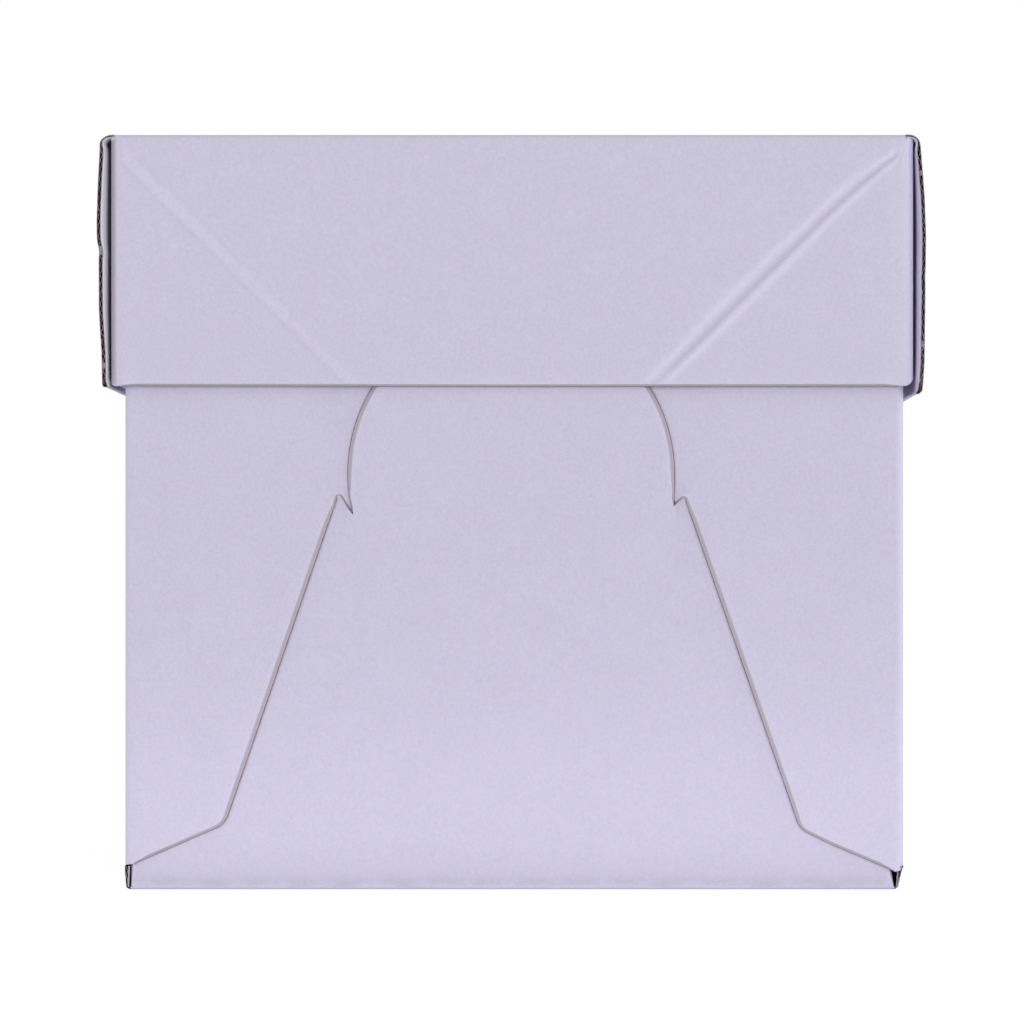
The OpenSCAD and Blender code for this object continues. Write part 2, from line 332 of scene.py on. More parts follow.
# joins the patches of a piece, merges points that meet, shades it smooth up to 38 degrees
def finishPiece(piece, name, materials, body, nodes):
    points = np.concatenate(piece["points"]) * 0.001
    faces = [row for part in piece["faces"] for row in part.tolist()]
    mesh = bpy.data.meshes.new(name)
    mesh.from_pydata(points.tolist(), [], faces)
    mesh.polygons.foreach_set("material_index", np.concatenate(piece["slots"]).astype(np.int32))
    # the first attribute is painted light and shade on the coat; the second is real wear of the coat and cut
    # board, and painted shade on the lid's left upright folds
    for key in ("paintedShading", "wearAndShade"):
        layer = mesh.attributes.new(key, "FLOAT", "POINT")
        layer.data.foreach_set("value", np.concatenate(piece[key]).astype(np.float32))
    corner = np.empty(len(mesh.loops), dtype=np.int32)
    mesh.loops.foreach_get("vertex_index", corner)
    uv = mesh.uv_layers.new(name="boardMap")
    uv.uv.foreach_set("vector", np.concatenate(piece["uv"])[corner].astype(np.float32).ravel())
    for material in materials:
        mesh.materials.append(material)
    work = bmesh.new()
    work.from_mesh(mesh)
    bmesh.ops.remove_doubles(work, verts=work.verts, dist=2e-6)
    work.to_mesh(mesh)
    work.free()
    mesh.shade_smooth()
    mesh.set_sharp_from_angle(angle=math.radians(38.0))
    obj = bpy.data.objects.new(name, mesh)
    bpy.context.scene.collection.objects.link(obj)
    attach(obj, body)
    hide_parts(*nodes)
    print(name, len(mesh.vertices), "points", sum(len(p.vertices) - 2 for p in mesh.polygons), "triangles")


# materials

paper = {
    "coat": (0.580, 0.553, 0.693),       # white clay coat with its cool cast
    "wornAndShaded": (0.41, 0.385, 0.425),        # coat pressed and torn at a cut, and painted shade on the lid's left upright folds
    "paintedLitWhite": (0.90, 0.895, 0.93),         # white that the painted light on the lid's inner liners blends to
    "kraft": (0.17, 0.115, 0.115),       # fluting paper
    "kraftDark": (0.05, 0.030, 0.036),
    "kraftPale": (0.24, 0.19, 0.18),     # fibres that stand up at a cut
    "linerEdge": (0.50, 0.46, 0.52),     # cut edge of the white liner
    "cloud": 0.03,                       # soft changes over several millimetres
    "grain": 0.15,                       # fine tooth of the paper
    "hue": 0.026,                        # pink to blue drift
    "rough": 0.62,
}


# a shader node; values named in_Scale and so on set its inputs, the others its own settings
def addNode(tree, kind, **values):
    node = tree.nodes.new(kind)
    for key, value in values.items():
        if key.startswith("in_"):
            name = key[3:]
            node.inputs[int(name) if name.isdigit() else name].default_value = value
        else:
            setattr(node, key, value)
    return node


# a link from a socket to a socket
def join(tree, source, target):
    tree.links.new(source, target)


# math node on two sources, each a socket or a number
def calc(tree, operation, a, b=None, clamp=False):
    node = addNode(tree, "ShaderNodeMath", operation=operation, use_clamp=clamp)
    for i, value in enumerate((a, b)):
        if value is None:
            continue
        if isinstance(value, (int, float)):
            node.inputs[i].default_value = value
        else:
            join(tree, value, node.inputs[i])
    return node.outputs[0]


# colour a to colour b by share, each a socket or a constant
def blendColour(tree, share, a, b):
    node = addNode(tree, "ShaderNodeMix", data_type="RGBA")
    for index, value in ((0, share), (6, a), (7, b)):
        if isinstance(value, tuple):
            node.inputs[index].default_value = (*value, 1.0)
        elif isinstance(value, (int, float)):
            node.inputs[index].default_value = value
        else:
            join(tree, value, node.inputs[index])
    return node.outputs[2]


# paper grain: colour moved by soft clouds, fine tooth and a pink to blue drift, and a height for bump
def makePaperGroup():
    tree = bpy.data.node_groups.new("paperGrain", "ShaderNodeTree")
    face = tree.interface
    face.new_socket("Place", in_out="INPUT", socket_type="NodeSocketVector")
    face.new_socket("Paper", in_out="INPUT", socket_type="NodeSocketColor")
    for name, value in (("Cloud", 0.02), ("Grain", 0.03), ("Hue", 0.02)):
        face.new_socket(name, in_out="INPUT", socket_type="NodeSocketFloat").default_value = value
    face.new_socket("Colour", in_out="OUTPUT", socket_type="NodeSocketColor")
    face.new_socket("Height", in_out="OUTPUT", socket_type="NodeSocketFloat")
    face.new_socket("Rough", in_out="OUTPUT", socket_type="NodeSocketFloat")
    source = addNode(tree, "NodeGroupInput")
    sink = addNode(tree, "NodeGroupOutput")
    noise = {}
    kinds = (("cloud", 90.0, 3.0), ("grain", 900.0, 3.0), ("fine", 2600.0, 2.0), ("hue", 330.0, 2.0))
    for key, scale, detail in kinds:
        node = addNode(tree, "ShaderNodeTexNoise", in_Scale=scale, in_Detail=detail, in_Roughness=0.6)
        join(tree, source.outputs["Place"], node.inputs["Vector"])
        noise[key] = calc(tree, "SUBTRACT", node.outputs["Fac"], 0.5)
    cloud = calc(tree, "MULTIPLY", noise["cloud"], source.outputs["Cloud"])
    grain = noise["grain"]
    tooth = calc(tree, "ADD", calc(tree, "MULTIPLY", grain, 0.7), calc(tree, "MULTIPLY", noise["fine"], 0.6))
    rubbed = calc(tree, "MULTIPLY", calc(tree, "MULTIPLY", tooth, 2.0), source.outputs["Grain"])
    change = calc(tree, "ADD", calc(tree, "MULTIPLY", cloud, 2.0), rubbed)
    gain = calc(tree, "ADD", 1.0, change)
    scale = addNode(tree, "ShaderNodeVectorMath", operation="SCALE")
    join(tree, source.outputs["Paper"], scale.inputs[0])
    join(tree, gain, scale.inputs["Scale"])
    drift = calc(tree, "MULTIPLY", noise["hue"], source.outputs["Hue"])
    push = addNode(tree, "ShaderNodeCombineXYZ")
    for channel, share in enumerate((1.6, -0.5, -1.0)):
        join(tree, calc(tree, "MULTIPLY", drift, share), push.inputs[channel])
    total = addNode(tree, "ShaderNodeVectorMath", operation="ADD")
    join(tree, scale.outputs[0], total.inputs[0])
    join(tree, push.outputs[0], total.inputs[1])
    join(tree, total.outputs[0], sink.inputs["Colour"])
    join(tree, tooth, sink.inputs["Height"])
    rough = calc(tree, "ADD", paper["rough"], calc(tree, "MULTIPLY", grain, 0.16))
    join(tree, rough, sink.inputs["Rough"])
    return tree


paperGroup = makePaperGroup()


# coated liner: paper grain; worn coat by the wear attribute, which on the lid's left upright folds is painted
# shade; colour times 1 + the painted light and shade attribute; painted light toward white where that is over
# 0.4
def coatMaterial(name, colour):
    material = bpy.data.materials.new(name)
    material.use_nodes = True
    tree = material.node_tree
    shader = tree.nodes["Principled BSDF"]
    place = addNode(tree, "ShaderNodeTexCoord")
    grain = addNode(tree, "ShaderNodeGroup", node_tree=paperGroup)
    grain.inputs["Paper"].default_value = (*colour, 1.0)
    for key in ("cloud", "grain", "hue"):
        grain.inputs[key.capitalize()].default_value = paper[key]
    join(tree, place.outputs["Object"], grain.inputs["Place"])
    paintedShading = addNode(tree, "ShaderNodeAttribute", attribute_name="paintedShading")
    wearAndShade = addNode(tree, "ShaderNodeAttribute", attribute_name="wearAndShade")
    tornNoise = addNode(tree, "ShaderNodeTexNoise", in_Scale=1500.0, in_Detail=3.0)
    join(tree, place.outputs["Object"], tornNoise.inputs["Vector"])
    torn = calc(tree, "MULTIPLY", calc(tree, "SUBTRACT", tornNoise.outputs["Fac"], 0.5), 0.5)
    ragged = calc(tree, "ADD", wearAndShade.outputs["Fac"], torn)
    share = calc(tree, "MULTIPLY", ragged, wearAndShade.outputs["Fac"], clamp=True)
    mixed = blendColour(tree, share, grain.outputs["Colour"], paper["wornAndShaded"])
    toned = addNode(tree, "ShaderNodeVectorMath", operation="SCALE")
    join(tree, mixed, toned.inputs[0])
    gain = calc(tree, "ADD", 1.0, calc(tree, "MINIMUM", paintedShading.outputs["Fac"], 0.4))
    join(tree, gain, toned.inputs["Scale"])
    # painted light: share toward white where the painted shading is over 0.4
    paintedLitShare = calc(tree, "MULTIPLY", calc(tree, "SUBTRACT", paintedShading.outputs["Fac"], 0.4), 2.5, clamp=True)
    join(tree, blendColour(tree, paintedLitShare, toned.outputs[0], paper["paintedLitWhite"]), shader.inputs["Base Color"])
    join(tree, grain.outputs["Rough"], shader.inputs["Roughness"])
    shader.inputs["Specular IOR Level"].default_value = 0.28
    seat = addNode(tree, "ShaderNodeUVMap", uv_map="boardMap")
    split = addNode(tree, "ShaderNodeSeparateXYZ")
    join(tree, seat.outputs[0], split.inputs[0])
    ribs = calc(tree, "SINE", calc(tree, "MULTIPLY", split.outputs[0], 2.0 * math.pi / board["pitch"]))
    tooth = calc(tree, "MULTIPLY", grain.outputs["Height"], 0.05)
    height = calc(tree, "ADD", tooth, calc(tree, "MULTIPLY", ribs, 0.006))
    bump = addNode(tree, "ShaderNodeBump", in_Strength=0.35, in_Distance=0.001)
    join(tree, height, bump.inputs["Height"])
    join(tree, bump.outputs[0], shader.inputs["Normal"])
    return material


# cut board: brown fluting paper with pale fibres, and the edge of the white liner where wear is low.
# dark gives the plain paper inside the flutes.
def rawMaterial(name, dark):
    material = bpy.data.materials.new(name)
    material.use_nodes = True
    tree = material.node_tree
    shader = tree.nodes["Principled BSDF"]
    place = addNode(tree, "ShaderNodeTexCoord")
    fibre = addNode(tree, "ShaderNodeTexNoise", in_Scale=1900.0, in_Detail=4.0, in_Roughness=0.7)
    patch = addNode(tree, "ShaderNodeTexNoise", in_Scale=420.0, in_Detail=2.0)
    for node in (fibre, patch):
        join(tree, place.outputs["Object"], node.inputs["Vector"])
    ground = blendColour(tree, fibre.outputs["Fac"], paper["kraftDark"], paper["kraft"])
    if dark:
        colourOut = ground
    else:
        spots = calc(tree, "MULTIPLY", calc(tree, "SUBTRACT", patch.outputs["Fac"], 0.46), 7.0, clamp=True)
        warm = blendColour(tree, fibre.outputs["Fac"], paper["kraft"], paper["kraftPale"])
        mixed = blendColour(tree, spots, warm, ground)
        wearAndShade = addNode(tree, "ShaderNodeAttribute", attribute_name="wearAndShade")
        colourOut = blendColour(tree, wearAndShade.outputs["Fac"], paper["linerEdge"], mixed)
    join(tree, colourOut, shader.inputs["Base Color"])
    shader.inputs["Roughness"].default_value = 0.9
    shader.inputs["Specular IOR Level"].default_value = 0.15
    bump = addNode(tree, "ShaderNodeBump", in_Strength=0.5, in_Distance=0.0002)
    join(tree, fibre.outputs["Fac"], bump.inputs["Height"])
    join(tree, bump.outputs[0], shader.inputs["Normal"])
    return material


boardSet = [
    coatMaterial("coatedLiner", paper["coat"]),
    rawMaterial("cutBoard", False),
    rawMaterial("flutePaper", True)]
print("materials ready")

# base

base = {
    "halfWidth": 128.85,
    "halfDepth": 128.6,
    "height": 247.0,
    "earStart": 7.9,          # where the low cut of an ear leaves the corner fold
    "rawEnd": 127.9,          # free ends of the side walls below the ears
    "pinch": 0.15,            # how far their inner liner is pressed down there
    "lowRadius": 1.2,         # outer radius of the folds between floor and sides
    "recess": 2.4,            # how far the fold and the floor stand back from the free ends
    "bow": 0.45,              # how far a side wall stands out in the middle
    # low strip of a side: lean inward, its power, crush of the score, how far the free ends turn in
    "lowStrip": {
        -1.0: {"lean": 0.4, "power": 1.5, "crush": 0.75, "turnIn": 0.1},
        1.0: {"lean": 1.0, "power": 0.6, "crush": 1.0, "turnIn": 1.0},
    },
    "panelFace": 127.05,      # face of an end panel low down, behind the ears
    "panelPush": 1.55,        # how far its head comes forward
    "headLean": 1.3,          # how far the head leans on the lid, higher up
    "earPush": 1.5,           # how far an ear goes back behind the head
    "headRadius": 54.2,
    "headHeight": 137.5,
    "earOpen": 28.0,
    "earLowBevel": 1.1,       # rim width along the low cut of an ear
    "panelLowBevel": 0.7,     # rim width low down on an end panel
    "footSlope": 4.0,         # degrees that a panel leans in at its fold
    "footTop": 0.8,           # height of that fold
    "footDip": 0.3,
    "footLength": 4.0,
    # per end and side, for the panel: foot, slant of its low edge and the notch; for the ear: low, middle and
    # bend of its lower cut, and the hook. The whole lock sits a little to one side.
    "front": {
        "centre": -1.0,
        "left": {
            "foot": 127.0, "slant": 0.1, "low": 8.5, "middle": (105.0, 17.5), "bend": (95.6, 21.5),
            "hook": (58.1, 130.5), "notch": (53.3, 124.3), "notchRound": 0.15},
        "right": {
            "foot": 125.9, "slant": 1.3, "low": 6.0, "middle": (105.0, 14.8), "bend": (94.4, 19.9),
            "hook": (56.2, 129.7), "notch": (52.9, 127.3), "notchRound": 0.6},
    },
    "back": {
        "centre": 0.4,
        "left": {
            "foot": 126.9, "slant": 0.2, "low": 7.6, "middle": (105.0, 16.6), "bend": (95.0, 21.0),
            "hook": (57.0, 130.0), "notch": (52.8, 125.4), "notchRound": 0.3},
        "right": {
            "foot": 126.8, "slant": 0.4, "low": 7.4, "middle": (105.0, 16.5), "bend": (95.2, 21.0),
            "hook": (57.8, 130.2), "notch": (53.2, 125.0), "notchRound": 0.3},
    },
}
# where the straight walls end and the upright corner folds begin
base["cornerX"] = base["halfWidth"] - board["fold"]
base["cornerY"] = base["halfDepth"] - board["fold"]


# share of the way through the lock, 0 behind and 1 before: the pass spreads with distance from the crossing
def passShare(x, z):
    across, up = np.abs(x) - 55.6, z - 127.6
    along = up * math.sin(math.radians(22.0)) - across * math.cos(math.radians(22.0))
    return ease(0.5 + 0.5 * along / (1.1 + 0.5 * np.hypot(across, up)))


# outer face of an ear at |x|, z, as distance from the middle: full depth at the fold, pushed back at the head
def earOut(x, z, centre):
    give = np.clip((125.4 - np.abs(x)) / 60.0, 0.0, 1.0) ** 1.2
    swell = 0.1 * np.sin(np.pi * np.clip((z - 8.0) / 120.0, 0.0, 1.0)) * give
    lean = base["headLean"] * ease((z - 140.0) / 26.0) * ease((112.0 - np.abs(x)) / 55.0)
    return base["halfDepth"] - base["earPush"] * passShare(x - centre, z) * give + swell + lean


# outer face of an end panel at x, z: pushed forward above the crossing, leaning in at the foot fold
def panelOut(x, z, centre):
    foot = base["footDip"] * np.exp(-(z - base["footTop"]) / base["footLength"])
    rise = ease((z - base["footTop"]) / 70.0)
    lean = base["headLean"] * ease((z - 140.0) / 26.0)
    return base["panelFace"] + base["panelPush"] * passShare(x - centre, z) * rise + lean - foot


# painted shade of an end panel near its foot: darker low down where it turns into the fold, and a thin darker
# line along the score
def footPaintedShade(p):
    z = p[:, 1] - base["footTop"]
    return -0.10 * np.exp(-z / 5.0) - 0.06 * hump((z - 1.9) / 0.75)


# outline of an ear: low cut, round corner, free edge, hook, notch, then the part hidden behind the head
def earCut(shape):
    lowX = base["cornerX"]
    hookX, hookZ = shape["hook"]
    notchX, notchZ = shape["notch"]
    corners = [
        (lowX, shape["low"]), shape["middle"], shape["bend"], (hookX, hookZ + 0.1),
        (notchX + 0.6, notchZ - 0.4), (notchX - 4.0, notchZ + 2.5), (44.0, 134.0), (38.0, 146.0),
        (base["earOpen"], 158.0), (base["earOpen"], base["height"]), (lowX, base["height"])]
    return roundedPath(corners, (14.0, 7.5, 0.4, shape["notchRound"], 2.0, 4.0, 6.0, 6.0, 3.0), 1.8)


# outline of an end panel, from its right foot over the head to its left foot
def panelCut(side):
    half = []
    for name, sign in (("right", 1.0), ("left", -1.0)):
        shape = side[name]
        hookX, hookZ = shape["hook"]
        notchX, notchZ = shape["notch"]
        foot = shape["foot"]
        corners = [
            (foot, base["footTop"]), (foot - shape["slant"], 8.0), (foot - 3.0, 18.0), (87.0, 116.0),
            (83.0, 128.0), (hookX + 3.4, hookZ + 2.4), (hookX - 0.6, hookZ + 0.5), (notchX, notchZ)]
        low = roundedPath(corners, (3.0, 3.0, 5.0, 3.0, 1.2, 0.5), 1.8)
        start = math.asin((notchZ - base["headHeight"]) / base["headRadius"])
        angle = np.linspace(start, math.pi / 2.0, 60)
        arc = base["headRadius"] * np.stack([np.cos(angle), np.sin(angle)], axis=1)
        arc += (sign * side["centre"], base["headHeight"])
        arc[:, 0] += (notchX - arc[0, 0]) * np.exp(-(arc[:, 1] - notchZ) / 3.5)
        path = np.concatenate([low, arc[1:]])
        path[:, 0] *= sign
        half.append(path)
    return resample(np.concatenate([half[0], half[1][::-1][1:]]), 1.8)


# a side wall above the ear start: x = w + bow, bow = b cos(pi y / 2a) sin(pi z / h)
def addSideWall(piece, sx, ySide, zHigh):
    y, z = np.meshgrid(ySide, zHigh, indexing="ij")
    rise = (z - zHigh[0]) / (zHigh[-1] - zHigh[0])
    bow = base["bow"] * np.cos(0.5 * np.pi * y / base["cornerY"]) * np.sin(np.pi * rise)
    outer = np.stack([sx * (base["halfWidth"] + bow), y, z], axis=2)
    inward = np.broadcast_to(-sx * rightward, outer.shape)
    addSheetGrid(piece, outer, inward, sx * rightward, np.stack([z, y], axis=2))
    addRim(piece, outer[:, -1], inward[:, -1], -upward, upward)


# cross-section of a side's low strip and floor fold, down from the ear start and in to the corner. Columns:
# across, up, inward across, inward up, crush, how far the free ends stand back
def lowStripLine(sx):
    strip, r = base["lowStrip"][sx], base["lowRadius"]
    quarter = np.linspace(0.0, np.pi / 2.0, 9)[1:]
    drop = np.linspace(base["earStart"], r, 8)
    down = 1.0 - (drop - r) / (base["earStart"] - r)
    flat = np.linspace(0.0, 1.0, 4)[1:]
    still, one = 0.0 * drop, 0.0 * flat + 1.0
    wallX = base["halfWidth"] - strip["lean"] * down ** strip["power"]
    foldX = base["halfWidth"] - strip["lean"] - r
    floorX = foldX + (base["cornerX"] - foldX) * flat
    return np.stack([
        sx * np.concatenate([wallX, foldX + r * np.cos(quarter), floorX]),
        np.concatenate([drop, r - r * np.sin(quarter), 0.0 * flat]),
        sx * np.concatenate([still - 1.0, -np.cos(quarter), 0.0 * flat]),
        np.concatenate([still, np.sin(quarter), one]),
        strip["crush"] * np.concatenate([down ** 1.2, still + 1.0, 1.0 - flat]),
        base["recess"] * np.concatenate([still, ease(np.arange(1, 9) / 6.0), one])], axis=1)


# outer and inward grids of that cross-section at the depths y: the free ends turn in and stand back
def sweepLowStrip(sx, line, y):
    strip = base["lowStrip"][sx]
    past = np.abs(y)[None, :] - base["rawEnd"]
    turned = line[:, 2:4] / np.linalg.norm(line[:, 2:4], axis=1, keepdims=True)
    y = np.sign(y)[None, :] * (np.abs(y)[None, :] - line[:, 5:6] * ease((past + 15.0) / 4.0))
    turnIn = strip["turnIn"] * line[:, 4:5] / strip["crush"] * ease((past + 7.0) / 7.0) ** 2
    outer = np.stack(np.broadcast_arrays(line[:, :1] - sx * turnIn, y, line[:, 1:2]), axis=2)
    return outer, np.stack(np.broadcast_arrays(turned[:, :1], 0.0 * y, turned[:, 1:]), axis=2)


# low strip and floor fold of one side, with open flutes at both free ends
def addLowStrip(piece, sx, ySide):
    end, pinch = base["rawEnd"], base["pinch"]
    yLow = np.concatenate([ySide] + [[-end + e, end - e] for e in (0.0, 0.3, 0.6, 0.95, 1.3, 2.0)])
    yLow = np.unique(np.round(yLow, 4))
    line = lowStripLine(sx)
    outer, inward = sweepLowStrip(sx, line, yLow)
    seed = {ey: 1.3 + sx + 2.0 * ey for ey in (-1.0, 1.0)}
    press = pinchBoth(pathLength(line[:, :2])[:, None], yLow, end, seed, pinch)
    addSheetGrid(piece, outer, inward, (sx, 0.0, -0.6), None, 0.0, board["thick"] - press - line[:, 4:5])
    fine = resample(line, 0.3)
    for ey in (-1.0, 1.0):
        outer, inward = sweepLowStrip(sx, fine, ey * (end - mouthRow))
        addRawEnd(piece, outer, inward, mouthRow, ey * backward, seed[ey], pinch, fine[:, 4])
        x, z = sx * base["halfWidth"], base["earStart"]
        ledge = np.array([[x, ey * base["cornerY"], z], [x, ey * end, z]])
        addRim(piece, ledge, -sx * rightward, -upward, upward, 0.3)


# fold of an end panel into the floor: slope of the panel in radians, radius, and distance of the floor's end
def footFold():
    slope = math.radians(base["footSlope"])
    radius = base["footTop"] / (1.0 - math.sin(slope))
    return slope, radius, base["panelFace"] - base["footDip"] - radius * math.cos(slope)


# floor of the tray, flat at z = 0
def addFloor(piece, ySide):
    footY = footFold()[2]
    yRow = np.concatenate([ySide[np.abs(ySide) < footY - 0.5], [-footY, footY]])
    xRow = stations(-base["cornerX"], base["cornerX"], 9.0)
    x, y = np.meshgrid(xRow, np.unique(np.round(yRow, 4)), indexing="ij")
    outer = np.stack([x, y, 0.0 * x], axis=2)
    addSheetGrid(piece, outer, np.broadcast_to(upward, outer.shape), -upward, np.stack([x, y], axis=2))


# upright fold between a side wall and an ear, its lower end sloping to the ear's own low corner.
# Gives back the heights along the ear.
def addCornerFold(piece, sx, ey, low, zHigh):
    r = board["fold"]
    a, z = np.meshgrid(np.linspace(0.0, np.pi / 2.0, 9), zHigh, indexing="ij")
    z = z + (low - zHigh[0]) * np.sin(a) * np.clip(1.0 - (z - zHigh[0]) / 14.0, 0.0, 1.0)
    x, y = base["cornerX"] + r * np.cos(a), base["cornerY"] + r * np.sin(a)
    outer = np.stack([sx * x, ey * y, z], axis=2)
    inward = np.stack([-sx * np.cos(a), -ey * np.sin(a), 0.0 * z], axis=2)
    addSheetGrid(piece, outer, inward, (sx, ey, 0.0), np.stack([z, a], axis=2))
    addRim(piece, outer[:, -1], inward[:, -1], -upward, upward)
    addRim(piece, outer[:, 0], inward[:, 0], upward, -upward, 0.3)
    return z[-1]


# an ear, joined to its corner fold at the heights zFold
def addEar(piece, sx, ey, centre, shape, zFold):
    cut = earCut(shape)
    inner = zFold[1:-1][::-1]
    seam = np.stack([0.0 * inner + base["cornerX"], inner], axis=1)

    def place(p, h):
        out = earOut(p[:, 0], p[:, 1], sx * centre) - h
        return np.stack([sx * p[:, 0], ey * out, p[:, 1]], axis=1)

    loose = np.concatenate([
        scatter((28.0, 8.0), (126.0, 247.0), 6.0),
        scatter((40.0, 104.0), (84.0, 152.0), 2.4),
        scatter((50.0, 120.0), (66.0, 138.0), 1.0)])
    low = base["earLowBevel"]
    bevel = low + (board["bevel"] - low) * ease((cut[:, 1] - 19.0) / 8.0)
    addCutSheet(piece, cut, seam, loose, [], place, ey * backward, lambda p: p[:, ::-1], None, bevel)


# an end panel, from its foot fold at the places foots up to its head
def addEndPanel(piece, ey, side, foots):
    cut = panelCut(side)
    seam = np.stack([foots[1:-1], 0.0 * foots[1:-1] + base["footTop"]], axis=1)

    def place(p, h):
        out = panelOut(p[:, 0], p[:, 1], side["centre"]) - h
        return np.stack([p[:, 0], ey * out, p[:, 1]], axis=1)

    loose = [scatter((-126.0, 3.0), (126.0, 192.0), 6.0), scatter((-126.0, 3.0), (126.0, 18.0), 2.2)]
    for sign in (-1.0, 1.0):
        x = sign * 56.4 + side["centre"]
        loose.append(scatter((x - 24.0, 104.0), (x + 26.0, 152.0), 2.4))
        loose.append(scatter((x - 9.0, 120.0), (x + 7.0, 138.0), 1.0))
    loose = np.concatenate(loose)
    low = base["panelLowBevel"]
    bevel = low + (board["bevel"] - low) * ease((cut[:, 1] - 20.0) / 40.0)
    addCutSheet(piece, cut, seam, loose, [], place, ey * backward, lambda p: p, footPaintedShade, bevel)


# fold between an end panel and the floor, a from the slope of the panel to a quarter turn; it narrows a
# little towards the floor
def addFootFold(piece, ey, foots):
    slope, radius, footY = footFold()
    a, x = np.meshgrid(np.linspace(slope, np.pi / 2.0, 9), foots, indexing="ij")
    narrow = 1.0 - 0.008 * ((a - slope) / (np.pi / 2.0 - slope)) ** 2
    outer = np.stack([x * narrow, ey * (footY + radius * np.cos(a)), radius - radius * np.sin(a)], axis=2)
    inward = np.stack([0.0 * x, -ey * np.cos(a), np.sin(a)], axis=2)
    addSheetGrid(piece, outer, inward, (0.0, ey, -1.0), np.stack([x, a], axis=2))
    for column, sx in ((0, -1.0), (-1, 1.0)):
        addRim(piece, outer[:, column], inward[:, column], -sx * rightward, sx * rightward, 0.5)
        edge = np.array([outer[-1, column], [sx * base["cornerX"], ey * footY, 0.0]])
        addRim(piece, edge, upward, -ey * backward, ey * backward, 0.3)


# the tray: side walls, floor, and at each end two ears and the panel that locks them
def buildBase():
    piece = newPiece()
    zHigh = stations(base["earStart"], base["height"], 9.0)
    ySide = stations(-base["cornerY"], base["cornerY"], 9.0)
    for sx in (-1.0, 1.0):
        addSideWall(piece, sx, ySide, zHigh)
        addLowStrip(piece, sx, ySide)
    addFloor(piece, ySide)
    for ey, side in ((-1.0, base["front"]), (1.0, base["back"])):
        for sx, name in ((-1.0, "left"), (1.0, "right")):
            zFold = addCornerFold(piece, sx, ey, side[name]["low"], zHigh)
            addEar(piece, sx, ey, side["centre"], side[name], zFold)
        foots = stations(-side["left"]["foot"], side["right"]["foot"], 7.0)
        addEndPanel(piece, ey, side, foots)
        addFootFold(piece, ey, foots)
    finishPiece(piece, "baseBoard", boardSet, "base", ["base"])


buildBase()

# lid

lid = {
    "shift": -0.75,            # the lid sits a little to the left on the base
    "top": 249.2,
    "low": 166.4,
    "flapX": {-1.0: 132.4, 1.0: 132.7},            # outer face of the glue flaps
    "front": 132.8,            # outer face of the front and back panels
    "sideX": 134.4,            # outer face of the side walls where they lie on the flaps
    "sideY": 132.0,            # free ends of the side walls
    "flareLength": 27.0,
    "topFold": 1.9,            # outer radius of the folds between top and end panels
    "tuck": 0.7,               # how far the end panels lean in at their lower edge
    # stand-out of the free ends: height share from the lower edge, millimetres
    "flare": {
        ("left", "front"): (
            (0.0, 0.12, 0.3, 0.5, 0.54, 0.58, 0.65, 0.8, 0.93, 1.0),
            (0.65, 0.8, 1.7, 1.75, 1.85, 2.35, 2.45, 2.05, 1.5, 1.35)),
        ("right", "front"): (
            (0.0, 0.1, 0.3, 0.6, 0.75, 0.86, 0.95, 1.0),
            (1.2, 1.7, 1.9, 2.2, 1.75, 1.05, 0.45, -0.1)),
        ("left", "back"): ((0.0, 0.2, 0.5, 0.8, 1.0), (1.2, 2.1, 2.6, 2.0, 1.2)),
        ("right", "back"): ((0.0, 0.2, 0.5, 0.8, 1.0), (1.0, 1.9, 2.5, 2.1, 1.0)),
    },
    # small dents of the free ends: height, half width, depth
    "dent": {("left", "front"): (210.8, 1.8, -0.3), ("right", "front"): (202.0, 2.0, -0.15)},
    "sideStart": {"left": 1.6, "right": 4.6},      # raw stretch at the front of the lower edge of the sides
    "sideLow": {"left": 166.5, "right": 164.4},
    "sideCorner": {"left": 1.0, "right": 3.0},     # radius of the lower front corners of the sides
    "pinch": 0.1,              # how far the inner liner is pressed at the raw ends
    # closed spots in the open flutes: height, length along the edge
    "crushed": {
        ("left", "front"): ((211.0, 3.0), (172.3, 2.0)),
        ("right", "front"): ((178.6, 2.2), (236.5, 1.6)),
        ("left", "back"): ((190.0, 2.4),),
        ("right", "back"): ((222.0, 2.8),),
    },
    "foldLift": 0.4,           # the lower edge of the upright folds stands this much higher
    "fold": {-1.0: 4.0, 1.0: 5.2},                 # outer radius of the upright folds, left and right
    "panelCorner": {-1.0: 1.3, 1.0: 3.0},          # radius of the lower corners of the end panels
    "innerPaintedShading": {-1.0: 0.8, 1.0: 0.05},           # painted light on the inner liner at the free ends of the sides, left and right
    "score": 0.85,                                 # how far the score of the top folds crushes the board
    "strip": {-1.0: 131.8, 1.0: 129.8},            # ends of the folds between top and end panels
    "flapLength": 58.0,
    # distances from the free ends at which the side walls have a station
    "near": (0.3, 0.6, 0.95, 1.3, 1.8, 3.0, 4.0, 5.0, 6.2, 8.0, 10.0, 14.0, 19.0, 24.0, 29.0),
}
# where the flat of an end panel ends and its upright folds begin, left and right
lid["panelX"] = [sx * (lid["flapX"][sx] - lid["fold"][sx]) for sx in (-1.0, 1.0)]

